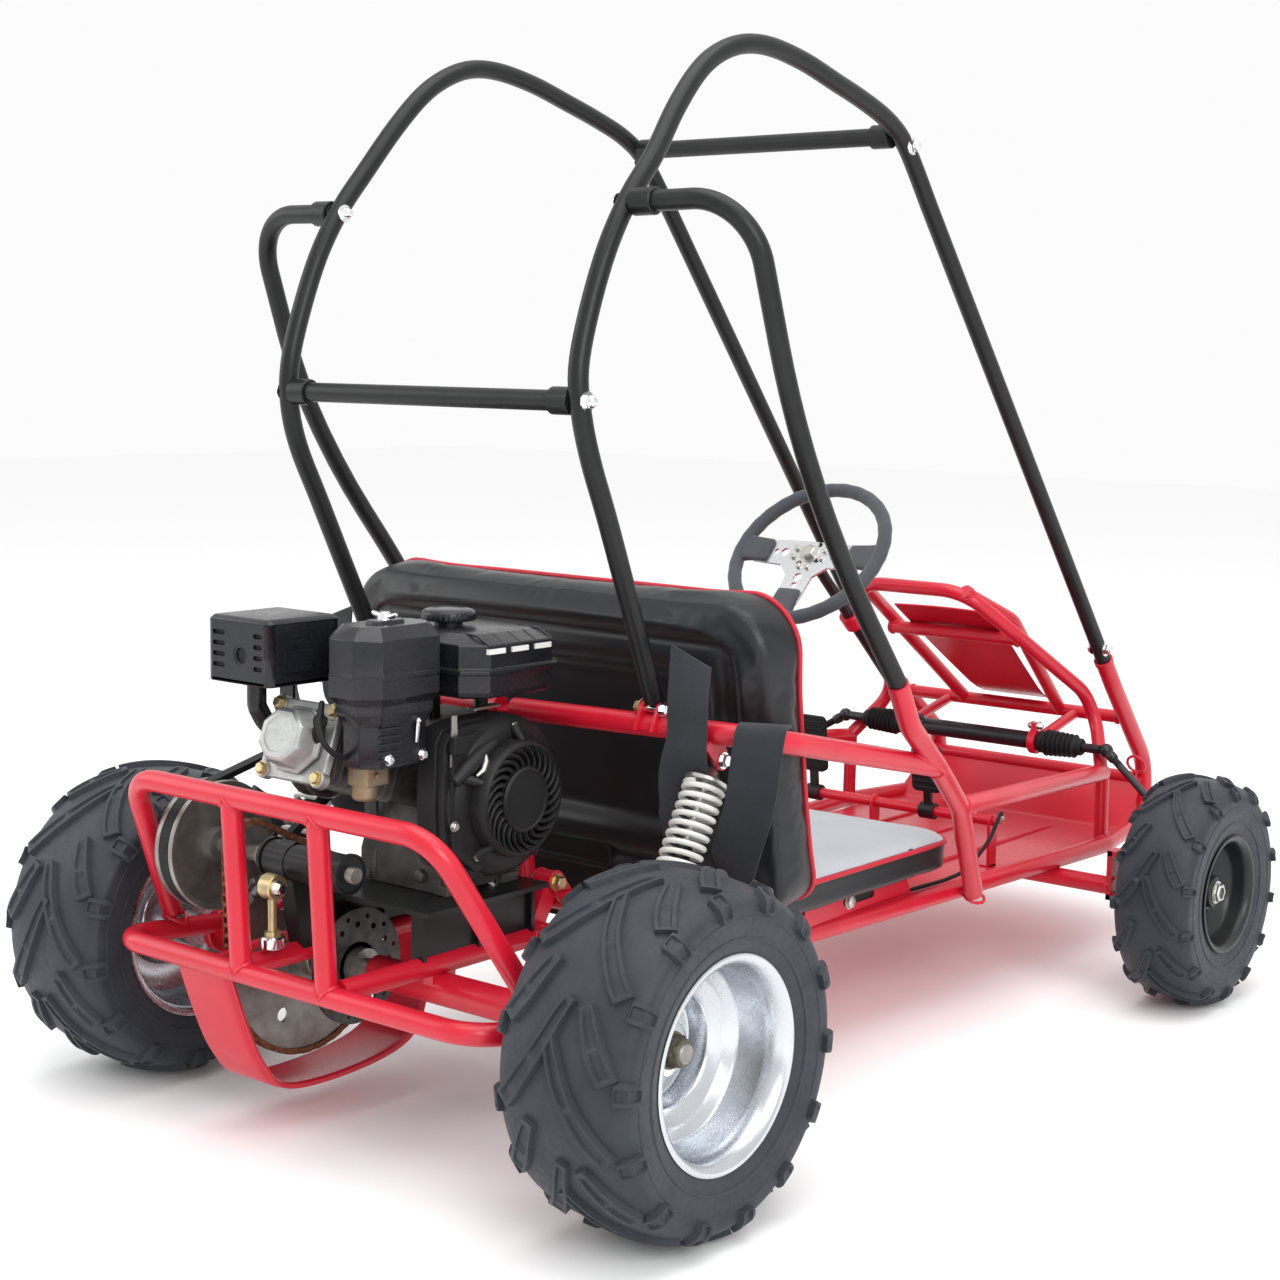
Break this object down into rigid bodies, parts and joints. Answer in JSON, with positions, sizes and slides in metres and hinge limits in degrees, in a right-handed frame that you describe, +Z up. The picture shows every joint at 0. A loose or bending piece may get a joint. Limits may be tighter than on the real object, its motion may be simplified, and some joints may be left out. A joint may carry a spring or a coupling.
{
  "type": "off road go kart",
  "caption": "Two-seat off road go kart with a tubular frame, roll cage, bench seat and a sprung rear unit that carries the engine and live axle.",
  "frame": {"origin": "middle of the footprint's bounding box, on the ground that the tyres stand on", "axes": "+Z up, the kart faces -Y, +X is the driver's left; metres"},
  "size_m": [1.093, 1.8062, 1.3491],
  "materials": {
    "frame_paint": "gloss red powder coat",
    "cage_paint": "satin black powder coat",
    "tyre_rubber": "matte",
    "polished_rim": "bright",
    "cast_alloy": "as cast",
    "bright_steel": "bright",
    "dark_steel": "dull",
    "chain_steel": "rusty",
    "grey_vinyl": "satin grey vinyl",
    "black_vinyl": "satin black vinyl",
    "belt_webbing": "woven",
    "black_rubber": "matte",
    "black_plastic": "satin",
    "spring_paint": "gloss white"
  },
  "bodies": {
    "frame": {"lower_frame_left": "frame_paint", "lower_frame_right": "frame_paint", "upper_rail_left": "frame_paint", "upper_rail_right": "frame_paint", "rear_frame": "frame_paint", "front_axle_beam": "frame_paint", "floor_pan": "frame_paint", "nose_frame": "frame_paint", "nose_shield": "frame_paint", "cage_side_left": "cage_paint", "cage_side_right": "cage_paint", "cage_top_bar": "cage_paint", "cage_mid_bar": "cage_paint", "side_bar_left": "cage_paint", "side_bar_right": "cage_paint", "seat_belt_left": "belt_webbing", "seat_belt_right": "belt_webbing", "rack_housing": "black_rubber", "brake_cable": "black_rubber"},
    "seat": {"seat_cushion": "grey_vinyl", "seat_back": "black_vinyl", "seat_pan": "cage_paint"},
    "steering": {"steering_shaft": "bright_steel", "steering_wheel": "black_rubber"},
    "rack": {"rack_bar": "bright_steel", "tie_rod_left": "cage_paint", "tie_rod_right": "cage_paint"},
    "knuckle_left": {"knuckle_left": "dark_steel"},
    "knuckle_right": {"knuckle_right": "dark_steel"},
    "front_wheel_left": {"front_rim_left": "cage_paint", "front_tyre_left": "tyre_rubber"},
    "front_wheel_right": {"front_rim_right": "cage_paint", "front_tyre_right": "tyre_rubber"},
    "swing_unit": {"swingarm": "frame_paint", "rear_bumper": "frame_paint", "engine_block": "cast_alloy", "valve_cover": "cast_alloy", "muffler": "cage_paint", "air_cleaner": "black_plastic", "fuel_tank": "black_plastic", "starter_cover": "black_plastic", "drive_belt": "black_rubber", "drive_chain": "chain_steel"},
    "fuel_cap": {"fuel_cap": "black_plastic"},
    "axle": {"rear_axle": "bright_steel", "axle_sprocket": "dark_steel", "rear_rim_left": "polished_rim", "rear_rim_right": "polished_rim", "rear_tyre_left": "tyre_rubber", "rear_tyre_right": "tyre_rubber"},
    "jackshaft": {"jackshaft": "dark_steel"},
    "drive_pulley": {"drive_pulley": "dark_steel"},
    "gas_pedal": {"gas_pedal": "cage_paint"},
    "brake_pedal": {"brake_pedal": "cage_paint"},
    "shock_upper_left": {"shock_upper_left": "bright_steel", "shock_spring_left": "spring_paint"},
    "shock_upper_right": {"shock_upper_right": "bright_steel", "shock_spring_right": "spring_paint"},
    "shock_lower_left": {"shock_lower_left": "cage_paint"},
    "shock_lower_right": {"shock_lower_right": "cage_paint"}
  },
  "joints": [
    {"name": "seat_slide", "type": "slide", "parent": "frame", "child": "seat", "axis": [0, -1, 0], "range_m": [0, 0.05]},
    {"name": "steering_turn", "type": "hinge", "parent": "frame", "child": "steering", "pos_m": [0.1, -0.30794, 0.643], "axis": [0, 0.7408, 0.6717], "range_deg": [-72, 72]},
    {"name": "rack_slide", "type": "slide", "parent": "frame", "child": "rack", "axis": [1, 0, 0], "range_m": [-0.026, 0.026]},
    {"name": "knuckle_left_turn", "type": "hinge", "parent": "frame", "child": "knuckle_left", "pos_m": [0.385, -0.49994, 0.172], "axis": [0, 0, 1], "range_deg": [-15, 15]},
    {"name": "knuckle_right_turn", "type": "hinge", "parent": "frame", "child": "knuckle_right", "pos_m": [-0.385, -0.49994, 0.172], "axis": [0, 0, 1], "range_deg": [-15, 15]},
    {"name": "front_wheel_left_spin", "type": "hinge", "parent": "knuckle_left", "child": "front_wheel_left", "pos_m": [0.48, -0.49994, 0.172], "axis": [1, 0, 0], "continuous": true},
    {"name": "front_wheel_right_spin", "type": "hinge", "parent": "knuckle_right", "child": "front_wheel_right", "pos_m": [-0.48, -0.49994, 0.172], "axis": [1, 0, 0], "continuous": true},
    {"name": "swing", "type": "hinge", "parent": "frame", "child": "swing_unit", "pos_m": [0, 0.48606, 0.29], "axis": [1, 0, 0], "range_deg": [-2, 5], "stiffness_Nm_per_rad": 1500, "springref_deg": -3.64},
    {"name": "axle_spin", "type": "hinge", "parent": "swing_unit", "child": "axle", "pos_m": [0, 0.70106, 0.202], "axis": [1, 0, 0], "continuous": true},
    {"name": "jackshaft_spin", "type": "hinge", "parent": "swing_unit", "child": "jackshaft", "pos_m": [0, 0.79106, 0.345], "axis": [1, 0, 0], "continuous": true},
    {"name": "drive_pulley_spin", "type": "hinge", "parent": "swing_unit", "child": "drive_pulley", "pos_m": [0, 0.61306, 0.423], "axis": [1, 0, 0], "continuous": true},
    {"name": "fuel_cap_turn", "type": "hinge", "parent": "swing_unit", "child": "fuel_cap", "pos_m": [-0.03, 0.63706, 0.624], "axis": [0, 0, 1], "range_deg": [0, 90]},
    {"name": "gas_pedal_press", "type": "hinge", "parent": "frame", "child": "gas_pedal", "pos_m": [-0.07, -0.40894, 0.245], "axis": [1, 0, 0], "range_deg": [0, 18], "stiffness_Nm_per_rad": 4, "springref_deg": -11.46},
    {"name": "brake_pedal_press", "type": "hinge", "parent": "frame", "child": "brake_pedal", "pos_m": [0.146, -0.40894, 0.245], "axis": [1, 0, 0], "range_deg": [0, 18], "stiffness_Nm_per_rad": 8, "springref_deg": -11.46},
    {"name": "shock_upper_left_tilt", "type": "hinge", "parent": "frame", "child": "shock_upper_left", "pos_m": [0.308, 0.47506, 0.476], "axis": [1, 0, 0], "range_deg": [-1, 2]},
    {"name": "shock_upper_right_tilt", "type": "hinge", "parent": "frame", "child": "shock_upper_right", "pos_m": [-0.308, 0.47506, 0.476], "axis": [1, 0, 0], "range_deg": [-1, 2]},
    {"name": "shock_lower_left_slide", "type": "slide", "parent": "shock_upper_left", "child": "shock_lower_left", "axis": [0, -0.487, 0.8734], "range_m": [-0.004, 0.009], "deforming": ["shock_spring_left"]},
    {"name": "shock_lower_right_slide", "type": "slide", "parent": "shock_upper_right", "child": "shock_lower_right", "axis": [0, -0.487, 0.8734], "range_m": [-0.004, 0.009], "deforming": ["shock_spring_right"]}
  ],
  "couplings": [
    {"joint": "rack_slide", "follows": "steering_turn", "m_per_rad": 0.02},
    {"joint": "knuckle_left_turn", "follows": "steering_turn", "ratio": 0.2},
    {"joint": "knuckle_right_turn", "follows": "steering_turn", "ratio": 0.2},
    {"joint": "jackshaft_spin", "follows": "axle_spin", "ratio": 3},
    {"joint": "shock_upper_left_tilt", "follows": "swing", "ratio": 0.3515},
    {"joint": "shock_upper_right_tilt", "follows": "swing", "ratio": 0.3515},
    {"joint": "shock_lower_left_slide", "follows": "swing", "m_per_rad": 0.0807},
    {"joint": "shock_lower_right_slide", "follows": "swing", "m_per_rad": 0.0807}
  ]
}
